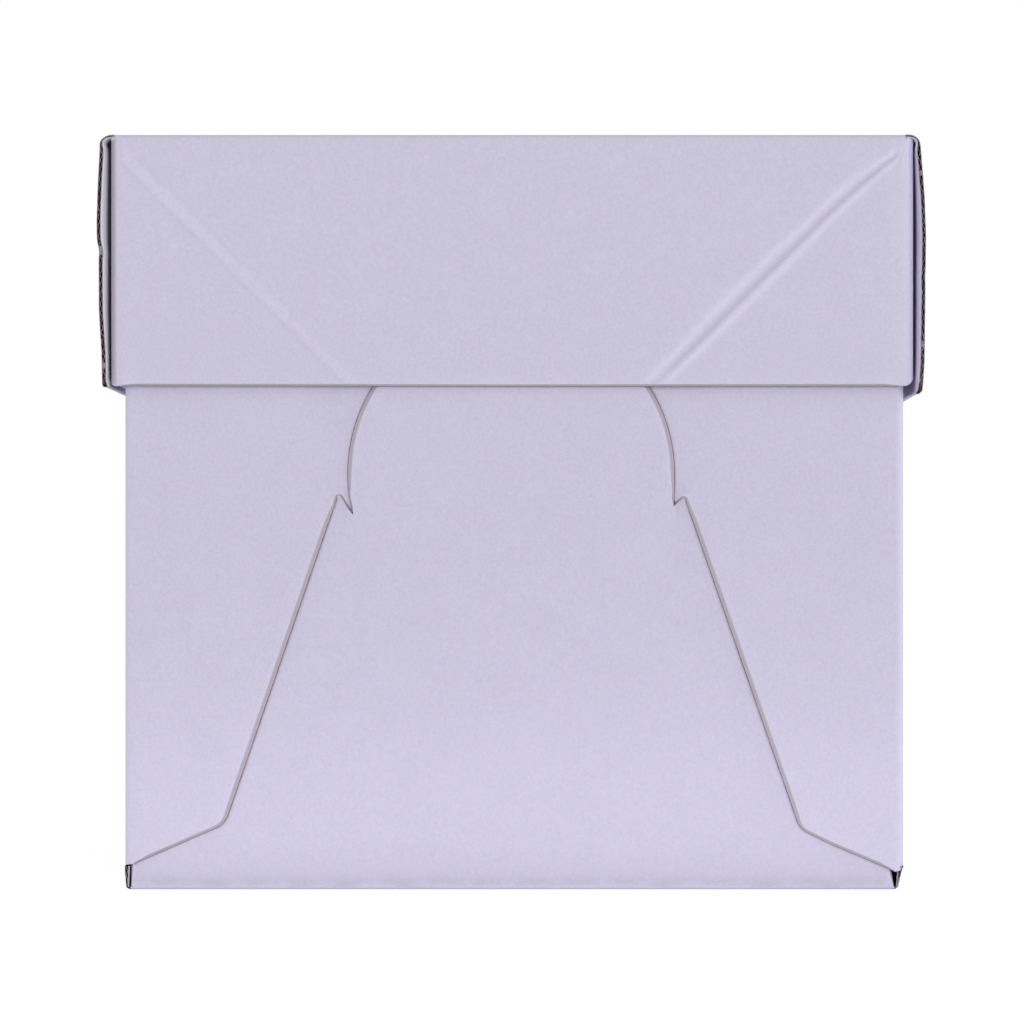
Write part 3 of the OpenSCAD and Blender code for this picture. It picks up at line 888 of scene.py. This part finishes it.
crease = {
    # x is from the middle of the lid; start at the lower edge, end at the top corner. beside and step place
    # the sheet's points: lines at these distances from the crease, a point on them every step
    # bright and dark are a painted highlight and painted shade; proud and deep are heights
    "left": {
        "foot": (-51.4, 166.4), "head": (-130.2, 244.7), "proud": 0.07, "bright": 0.045, "dark": -0.035,
        "beside": (
            -5.0, -3.7, -3.15, -2.6, -2.2, -1.8, -1.3, -0.7, 0.0, 0.7, 1.3, 1.8, 2.2, 2.6, 3.15, 3.7, 5.0),
        "step": 2.0},
    "right": {
        "foot": (47.0, 166.4), "head": (126.1, 244.4),
        "proud": 0.15, "deep": 0.28, "bright": 0.13, "dark": -0.14,
        "beside": (
            -7.0, -5.4, -4.4, -3.6, -2.9, -2.2, -1.6, -1.1, -0.6, -0.2, 0.2, 0.6, 1.0, 1.5, 2.1, 2.8, 3.6,
            4.6, 6.0),
        "step": 1.5},
}


# stand-out of a lid side at depth y and height z: flare(z) ((|y| - sideY + L) / L)^4, with a small dent
def standOut(side, y, z):
    share = np.clip((z - lid["low"]) / (lid["top"] - lid["low"]), 0.0, 1.0)
    total = np.zeros(np.broadcast(y, z).shape)
    for end, sign in (("front", -1.0), ("back", 1.0)):
        level, amount = lid["flare"][(side, end)]
        fine = np.linspace(0.0, 1.0, 101)
        rough = np.interp(fine, level, amount)
        soft = np.convolve(np.pad(rough, 2, mode="edge"), np.ones(5) / 5.0, mode="valid")
        reach = np.clip((sign * y - lid["sideY"] + lid["flareLength"]) / lid["flareLength"], 0.0, 1.2)
        here = np.interp(share, fine, soft)
        if (side, end) in lid["dent"]:
            at, width, depth = lid["dent"][(side, end)]
            here = here + depth * hump((z - at) / width)
        total = total + here * reach ** 4
    return total


# crush of the board near the score along the top at height z
def scoreAt(z):
    return lid["score"] * hump((z - lid["top"] + 1.2) / 2.6)


# painted shade and highlight of an upright fold, s = sin of its angle: the left one gets painted shade,
# darker and greyer where it turns toward the gap by the side wall; the right one a painted highlight where it
# turns toward the light
def foldPaintedShading(sx, s):
    if sx < 0.0:
        return -0.4 * ease((s - 0.82) / 0.18), ease((s - 0.3) / 0.38)
    return 0.02 + 0.22 * ease((s - 0.3) / 0.5), 0.0


# cross-section of a lid side: foot to fold, then a quarter fold up to the top board
def lidSideLine(side, count, steps):
    r = board["fold"]
    low = lid["sideLow"][side]
    z = stations(low, lid["top"] - r, count, (0.4, 1.2, 3.0))
    a = np.linspace(0.0, np.pi / 2.0, steps)[1:]
    px = np.concatenate([np.full(len(z), lid["sideX"]), lid["sideX"] - r + r * np.cos(a)])
    pz = np.concatenate([z, lid["top"] - r + r * np.sin(a)])
    nx = np.concatenate([np.full(len(z), -1.0), -np.cos(a)])
    nz = np.concatenate([np.zeros(len(z)), -np.sin(a)])
    line = np.stack([px, pz, nx, nz, -nx], axis=1)
    if side == "right":
        line = np.concatenate([line, [[lid["strip"][1.0] + 0.1, lid["top"], 0.0, -1.0, 0.0]]])
    return line


# rise of a side's lower edge at its rounded front corner: R - sqrt(R^2 - (R - d)^2), d from the free end
def cornerRise(side, y):
    radius = lid["sideCorner"][side]
    share = np.clip(radius - (y + lid["sideY"]), 0.0, radius)
    return radius - np.sqrt(radius ** 2 - share ** 2)


# grids of a lid side over its cross-section and a row of depths
def lidSideGrid(side, line, depth):
    sign = -1.0 if side == "left" else 1.0
    px, y = np.meshgrid(line[:, 0], depth, indexing="ij")
    pz = np.broadcast_to(line[:, 1:2], px.shape)
    pz = pz + cornerRise(side, y) * np.clip(1.0 - (pz - lid["sideLow"][side]) / 30.0, 0.0, 1.0)
    out = standOut(side, y, pz) * line[:, 4:5]
    outer = np.stack([sign * (px + out) + lid["shift"], y, pz], axis=2)
    slope = (standOut(side, y + 0.5, pz) - standOut(side, y - 0.5, pz)) * line[:, 4:5]
    inward = np.stack(np.broadcast_arrays(sign * line[:, 2:3], slope, line[:, 3:4]), axis=2)
    return outer, inward / np.linalg.norm(inward, axis=2, keepdims=True)


# height and painted light and shade of the two diagonal creases at x, z. q is the distance from the crease
# line, in mm. The right one is a valley at 0 with painted shade, steep on its lower side, between two raised
# bands with painted highlights;
# the left one is a single low band with a painted highlight between thin lines of painted shade.
def creaseField(x, z):
    height, paintedShading = np.zeros(len(x)), np.zeros(len(x))
    for name in ("left", "right"):
        c = crease[name]
        foot, head = np.array(c["foot"]), np.array(c["head"])
        length = np.linalg.norm(head - foot)
        u = (head - foot) / length
        t = ((x - foot[0]) * u[0] + (z - foot[1]) * u[1]) / length
        q = (x - foot[0]) * u[1] - (z - foot[1]) * u[0]
        reach = ease((t + 0.02) / 0.03) * (1.0 - ease((t - 0.985) / 0.03))
        if name == "right":
            q = q - 26.0 * np.clip(t - 0.7, 0.0, 1.0) ** 2
            wide = 1.0 + 0.22 * hump((t - 0.38) / 0.22) - 0.35 * ease((t - 0.8) / 0.2)
            wide = wide + 0.05 * ripple(t * length, 2.0, 30.0)
            lower = hump((q - 2.05 * wide) / (0.95 * wide))
            upper = hump((q + 2.9 * wide) / (1.3 * wide))
            valley = hump(q / np.where(q > 0.0, 0.6, 1.15 * wide)) * (1.0 - 0.6 * hump((t - 0.03) / 0.06))
            height += reach * (c["proud"] * (lower + upper) - c["deep"] * valley)
            paintedShading += reach * (c["bright"] * (lower + 0.95 * upper) + c["dark"] * valley)
        else:
            wide = 1.0 + 0.06 * ripple(t * length, 1.0, 40.0)
            band = np.exp(-(q / (1.65 * wide)) ** 4)
            lower = hump((q + 2.55 * wide) / 0.6)
            upper = hump((q - 2.75 * wide) / 0.6) * ease((t - 0.3) / 0.4)
            height += reach * c["proud"] * band
            paintedShading += reach * (c["bright"] * band + c["dark"] * (lower + 0.5 * upper))
    return height, paintedShading


# lines that run beside a crease, so that the sheet has points where it bends
def creaseLines(name):
    c = crease[name]
    foot, head = np.array(c["foot"]), np.array(c["head"])
    length = np.linalg.norm(head - foot)
    u = (head - foot) / length
    across = np.array([u[1], -u[0]])
    return [foot + u * np.arange(0.0, length, c["step"])[:, None] + across * q for q in c["beside"]]


# lean of an end panel at height z: tuck (1 - z share)^1.5, nothing at the top
def tuckAt(z):
    return lid["tuck"] * np.clip(1.0 - (z - lid["low"]) / 80.0, 0.0, 1.0) ** 1.5


# a closed spot in the open flutes: a small pad of torn paper across the mouth, z = middle +- half its length
def addCrushedSpot(piece, side, ey, middle, length):
    z = np.linspace(middle - 0.5 * length, middle + 0.5 * length, 9)
    line = np.stack([np.full(9, lid["sideX"]), z, np.full(9, -1.0), np.zeros(9), np.ones(9)], axis=1)
    outer, inward = lidSideGrid(side, line, np.array([ey * lid["sideY"]]))
    across = np.linspace(0.12, board["thick"] - lid["pinch"] - 0.1, 6)
    pad = 0.3 * np.cos(np.linspace(-1.3, 1.3, 9))[:, None] * np.cos(np.linspace(-1.0, 1.0, 6))[None, :]
    pad = pad + 0.05 * np.sin(3.0 * across[None, :] * 5.0 + z[:, None] * 4.0)
    grid = outer[:, :1] + inward[:, :1] * across[None, :, None]
    grid = grid + ey * backward * (pad[..., None] - 0.1)
    addGrid(piece, grid, raw, ey * backward, None, 0.0, 0.75)


# painted light and shade on the inner liner of a lid side, toward white over 0.4: painted light at the free
# end and by the top score, and painted shade further in, where the glue flap starts
def innerPaintedShadingAt(sx, z, inEnd):
    high = lid["innerPaintedShading"][sx]
    paintedShading = high - (high + 0.5) * ease((inEnd - 3.2) / 3.6) + 0.5 * ease((inEnd - 30.0) / 10.0)
    return paintedShading + 0.7 * hump((z - lid["top"] + 3.0) / 2.0) * (1.0 - ease((inEnd - 6.0) / 6.0))


# a side wall of the lid with its fold up to the top board, and open flutes at both free ends
def addLidSide(piece, side, sx, yRow):
    end, pinch = lid["sideY"], lid["pinch"]
    outer, inward = lidSideGrid(side, lidSideLine(side, 1.6, 9), yRow)
    z, inEnd = outer[..., 2], (end - np.abs(yRow))[None, :]
    seed = {ey: 0.4 + 1.1 * sx + 2.3 * ey for ey in (-1.0, 1.0)}
    press = pinchBoth(pathLength(outer[:, 0])[:, None], yRow, end, seed, pinch)
    thick, inner = board["thick"] - press - scoreAt(z), innerPaintedShadingAt(sx, z, inEnd)
    addSheetGrid(piece, outer, inward, (sx, 0.0, 0.4), outer[..., [2, 1]], 0.0, thick, inner)
    split = int((yRow + end < lid["sideStart"][side]).sum())
    addRim(piece, outer[0, :split], inward[0, :split], upward, -upward, 1.2)
    addPressedRim(piece, outer[0, split - 1:], inward[0, split - 1:], upward, -upward)
    line = resample(lidSideLine(side, 4.0, 40), 0.28)
    line[:, 2:4] /= np.linalg.norm(line[:, 2:4], axis=1, keepdims=True)
    for name, ey in (("front", -1.0), ("back", 1.0)):
        outer, inward = lidSideGrid(side, line, ey * (end - mouthRow))
        crush = scoreAt(outer[:, 0, 2])
        addRawEnd(piece, outer, inward, mouthRow, ey * backward, seed[ey], pinch, crush)
        for middle, length in lid["crushed"][(side, name)]:
            addCrushedSpot(piece, side, ey, middle, length)


# upright fold of an end panel: its lower edge is rounded, z = low + R - sqrt(R^2 - d^2), and its upper end
# rises to the top board past the end of the top fold
def addUprightFold(piece, sx, ey, share):
    fold, bend, cx = lid["fold"][sx], lid["panelCorner"][sx], abs(lid["panelX"][int(sx > 0.0)])
    low, high = lid["low"] + lid["foldLift"], lid["top"] - lid["topFold"]
    a, t = np.meshgrid(np.linspace(0.0, np.pi / 2.0, 13), share, indexing="ij")
    inRound = np.clip(fold * np.sin(a) - fold + bend, 0.0, bend)
    start = low + bend - np.sqrt(bend ** 2 - inRound ** 2)
    past = ease((cx + fold * np.sin(a) - lid["strip"][sx]) / 0.8)
    z = start + t * (high + 0.1 + (lid["top"] - 0.35 - high) * past - start)
    x = sx * (cx + fold * np.sin(a)) + lid["shift"]
    y = ey * (lid["front"] - fold + (fold - tuckAt(z)) * np.cos(a))
    outer = np.stack([x, y, z], axis=2)
    inward = np.stack([-sx * np.sin(a), -ey * np.cos(a), 0.0 * z], axis=2)
    paintedShading, wearAndShade = foldPaintedShading(sx, np.sin(a))
    uv = np.stack([a * fold, z], axis=2)
    addSheetGrid(piece, outer, inward, (sx, ey, 0.0), uv, paintedShading, None, 0.0, wearAndShade)
    addPressedRim(piece, outer[:, 0], inward[:, 0], upward, -upward)
    addRim(piece, outer[:, -1], inward[:, -1], -upward, upward, 0.4)


# glue flap behind a side wall, with clipped corners at its free end
def addGlueFlap(piece, sx, ey, share):
    low = lid["low"] + lid["foldLift"] + lid["panelCorner"][sx]
    high = lid["top"] - lid["topFold"]
    b, t = np.meshgrid(np.linspace(0.0, 1.0, 12), share, indexing="ij")
    y = lid["front"] - lid["fold"][sx] - b * lid["flapLength"]
    clipped = 8.0 * np.clip((b - 0.8) / 0.2, 0.0, 1.0)
    z = low + clipped + t * (high - low - 32.0 * b - clipped)
    outer = np.stack([0.0 * y + sx * lid["flapX"][sx] + lid["shift"], ey * y, z], axis=2)
    inward = np.broadcast_to(-sx * rightward, outer.shape)
    addSheetGrid(piece, outer, inward, sx * rightward, np.stack([y, z], axis=2))
    addPressedRim(piece, outer[:, 0], inward[:, 0], upward, -upward)
    addRim(piece, outer[-1], inward[-1], ey * backward, -ey * backward, 0.6)
    addRim(piece, outer[:, -1], inward[:, -1], -upward, upward, 0.6)


# top board of the lid, flat at z = top
def addTopBoard(piece, sideRow):
    yTop = lid["front"] - lid["topFold"]
    xRow = stations(board["fold"] - lid["sideX"], lid["strip"][1.0] + 0.1, 9.0)
    yRow = np.concatenate([[-yTop], sideRow[np.abs(sideRow) < yTop - 0.3], [yTop]])
    x, y = np.meshgrid(xRow, yRow, indexing="ij")
    outer = np.stack([x + lid["shift"], y, 0.0 * x + lid["top"]], axis=2)
    addSheetGrid(piece, outer, np.broadcast_to(-upward, outer.shape), upward, np.stack([x, y], axis=2))


# places across the top folds, whose ends reach over the upright folds
def topFoldRow():
    left, right = -lid["strip"][-1.0], lid["strip"][1.0]
    ends = left + np.array([0.0, 0.6, 1.3, 2.1]), right - np.array([1.6, 0.8, 0.0])
    xRow = np.concatenate([ends[0], stations(*lid["panelX"], 6.0), ends[1]])
    return np.unique(np.round(xRow[(xRow >= left) & (xRow <= right)], 4))


# fold between top and end panel; past the flat of the panel it follows the upright fold of radius f, and at e
# past it stands back by f - sqrt(f^2 - e^2)
def addTopFold(piece, ey, xRow):
    xl, xr = lid["panelX"]
    r = lid["topFold"]
    f = np.where(xRow < 0.0, lid["fold"][-1.0], lid["fold"][1.0])
    past = np.clip(np.where(xRow < 0.0, xl - xRow, xRow - xr), 0.0, f)
    follow = (f - np.sqrt(f ** 2 - past ** 2))[None, :]
    a, x = np.meshgrid(np.linspace(0.0, np.pi / 2.0, 9), xRow, indexing="ij")
    y = ey * (lid["front"] - r + (r - follow) * np.cos(a))
    outer = np.stack([x + lid["shift"], y, lid["top"] - r + r * np.sin(a)], axis=2)
    inward = np.stack([0.0 * x, -ey * np.cos(a), -np.sin(a)], axis=2)
    addSheetGrid(piece, outer, inward, (0.0, ey, 1.0), np.stack([x, a], axis=2))
    for column, sx in ((0, -1.0), (-1, 1.0)):
        addPressedRim(piece, outer[:, column], inward[:, column], -sx * rightward, sx * rightward)


# end panel of the lid: its lower edge sags a little, and the creases run to the top corners
def addLidPanel(piece, ey, xRow):
    xl, xr = lid["panelX"]
    low, high = lid["low"], lid["top"] - lid["topFold"]
    zSide = stations(low + lid["foldLift"], high, 6.0, (0.8, 2.0, 4.0))[1:]
    cut = roundedPath([(xl, low), (0.0, low - 0.3), (xr, low - 0.1)], (400.0,), 1.8)
    xTop = xRow[(xRow > xl + 0.3) & (xRow < xr - 0.3)][::-1]
    seam = np.concatenate([
        np.stack([0.0 * zSide + xr, zSide], axis=1),
        np.stack([xTop, 0.0 * xTop + high], axis=1),
        np.stack([0.0 * zSide + xl, zSide[::-1]], axis=1)])

    def place(p, h):
        x, z = p[:, 0], p[:, 1]
        give = np.clip((high - z) / 80.0, 0.0, 1.0) * np.sin(np.pi * np.clip((x - xl) / (xr - xl), 0.0, 1.0))
        out = lid["front"] + creaseField(x, z)[0] + 0.25 * give - tuckAt(z)
        return np.stack([x + lid["shift"], ey * (out - h), z], axis=1)

    # painted highlights and shade of the creases, and a painted highlight toward the right fold
    def paintedShadingOf(p):
        return creaseField(p[:, 0], p[:, 1])[1] + 0.02 * ease((p[:, 0] - xr + 7.0) / 7.0)

    loose, lines = scatter((xl, low), (xr, high), 5.0), creaseLines("left") + creaseLines("right")
    addCutSheet(piece, cut, seam, loose, lines, place, ey * backward, lambda p: p, paintedShadingOf, 0.8)


# the lid: side walls, upright folds with glue flaps, top, and the two creased end panels
def buildLid():
    piece = newPiece()
    sideRow = stations(-lid["sideY"], lid["sideY"], 9.0, lid["near"])
    share = stations(0.0, 1.0, 0.09, (0.006, 0.017, 0.036))
    for side, sx in (("left", -1.0), ("right", 1.0)):
        addLidSide(piece, side, sx, sideRow)
        for ey in (-1.0, 1.0):
            addUprightFold(piece, sx, ey, share)
            addGlueFlap(piece, sx, ey, share)
    addTopBoard(piece, sideRow)
    xRow = topFoldRow()
    for ey in (-1.0, 1.0):
        addTopFold(piece, ey, xRow)
        addLidPanel(piece, ey, xRow)
    finishPiece(piece, "lidBoard", boardSet, "lid", ["lid"])


buildLid()

# floor, light and camera

studio = {
    "floor": (0.86, 0.86, 0.87),
    "floorSize": 9.0,            # half its width, in metres
    "floorGlow": 1.25,           # glow of the floor, for the camera and for reflections only
    "glowShare": 0.65,           # share of that glow, the rest is the lit floor with its shadow
    "sky": 0.62,                 # even light from all round
    # lamps: place, aim, size across and up, power in watts
    "lamps": {
        "frontRight": ((0.95, -1.55, 0.22), (0.0, 0.0, 0.12), (0.7, 0.7), 6.2),
        "frontLeft": ((-0.95, -1.55, 0.22), (0.0, 0.0, 0.12), (0.7, 0.7), 7.3),
        "right": ((1.3, 0.0, 0.3), (0.0, 0.0, 0.12), (0.9, 0.7), 6.5),
        "left": ((-1.3, 0.0, 0.3), (0.0, 0.0, 0.12), (0.9, 0.7), 2.0),
        "low": ((0.0, -0.18, 0.024), (0.0, 0.0, 0.024), (0.4, 0.014), 0.017),
    },
    "distance": 1.2,             # camera to the front face of the base
    "pixel": 0.3305,             # millimetres at that face for one pixel of 1024
    "axis": (566.0, 601.0),      # pixel that the lens axis meets
    "baseMiddle": 514.15,        # pixel of the middle of the base
    "floorLine": 889.9,          # pixel of the floor at that face
    "pixels": 1024.0,            # of the picture's width and height
    "film": 36.0,
}


# 1 where a surface is seen by the camera, in a reflection or through something, and 0 for its light on others
def seenShare(tree):
    path = addNode(tree, "ShaderNodeLightPath")
    mirrored = calc(tree, "MAXIMUM", path.outputs["Is Glossy Ray"], path.outputs["Is Transmission Ray"])
    return calc(tree, "MAXIMUM", path.outputs["Is Camera Ray"], mirrored)


# pale floor at z = 0: lit surface and glow, mixed by glowShare where it is seen
def makeFloor():
    mesh = bpy.data.meshes.new("floor")
    half = studio["floorSize"]
    corners = [(-half, -half, 0.0), (half, -half, 0.0), (half, half, 0.0), (-half, half, 0.0)]
    mesh.from_pydata(corners, [], [(0, 1, 2, 3)])
    obj = bpy.data.objects.new("floor", mesh)
    bpy.context.scene.collection.objects.link(obj)
    material = bpy.data.materials.new("paleFloor")
    material.use_nodes = True
    tree = material.node_tree
    shader = tree.nodes["Principled BSDF"]
    shader.inputs["Base Color"].default_value = (*studio["floor"], 1.0)
    shader.inputs["Roughness"].default_value = 0.9
    shader.inputs["Specular IOR Level"].default_value = 0.0
    glow = addNode(tree, "ShaderNodeEmission", in_Strength=studio["floorGlow"])
    mix = addNode(tree, "ShaderNodeMixShader")
    join(tree, calc(tree, "MULTIPLY", seenShare(tree), studio["glowShare"]), mix.inputs[0])
    join(tree, shader.outputs[0], mix.inputs[1])
    join(tree, glow.outputs[0], mix.inputs[2])
    join(tree, mix.outputs[0], tree.nodes["Material Output"].inputs["Surface"])
    mesh.materials.append(material)


# sky of even white light, and area lamps turned to their aim points
def makeLight():
    world = bpy.data.worlds.new("studio")
    bpy.context.scene.world = world
    world.use_nodes = True
    tree = world.node_tree
    back = tree.nodes["Background"]
    extra = calc(tree, "MULTIPLY", seenShare(tree), 1.0 - studio["sky"])
    strength = calc(tree, "ADD", studio["sky"], extra)
    back.inputs["Color"].default_value = (1.0, 1.0, 1.0, 1.0)
    join(tree, strength, back.inputs["Strength"])
    for name, (place, aim, size, power) in studio["lamps"].items():
        lamp = bpy.data.lights.new(name, "AREA")
        lamp.shape = "RECTANGLE"
        lamp.size, lamp.size_y = size
        lamp.energy = power
        obj = bpy.data.objects.new(name, lamp)
        obj.location = place
        x, y, z = np.array(aim) - np.array(place)
        obj.rotation_euler = (math.atan2(math.hypot(x, y), -z), 0.0, math.atan2(y, x) - math.pi / 2.0)
        bpy.context.scene.collection.objects.link(obj)


# camera square to the front face: a lens of film * distance / (pixel * pixels), shifted to the lens axis
def makeCamera():
    pixel, pixels = studio["pixel"] * 0.001, studio["pixels"]
    axisX, axisZ = studio["axis"]
    lens = bpy.data.cameras.new("camera")
    lens.sensor_width = studio["film"]
    lens.lens = studio["film"] * studio["distance"] / (pixel * pixels)
    lens.shift_x = (0.5 * pixels - axisX) / pixels
    lens.shift_y = (axisZ - 0.5 * pixels) / pixels
    lens.clip_end = 50.0
    obj = bpy.data.objects.new("camera", lens)
    x, z = (axisX - studio["baseMiddle"]) * pixel, (studio["floorLine"] - axisZ) * pixel
    obj.location = (x, -0.001 * base["halfDepth"] - studio["distance"], z)
    obj.rotation_euler = (math.pi / 2.0, 0.0, 0.0)
    bpy.context.scene.collection.objects.link(obj)
    bpy.context.scene.camera = obj


makeFloor()
makeLight()
makeCamera()
bpy.context.scene.view_settings.view_transform = "Standard"
print("stage ready")
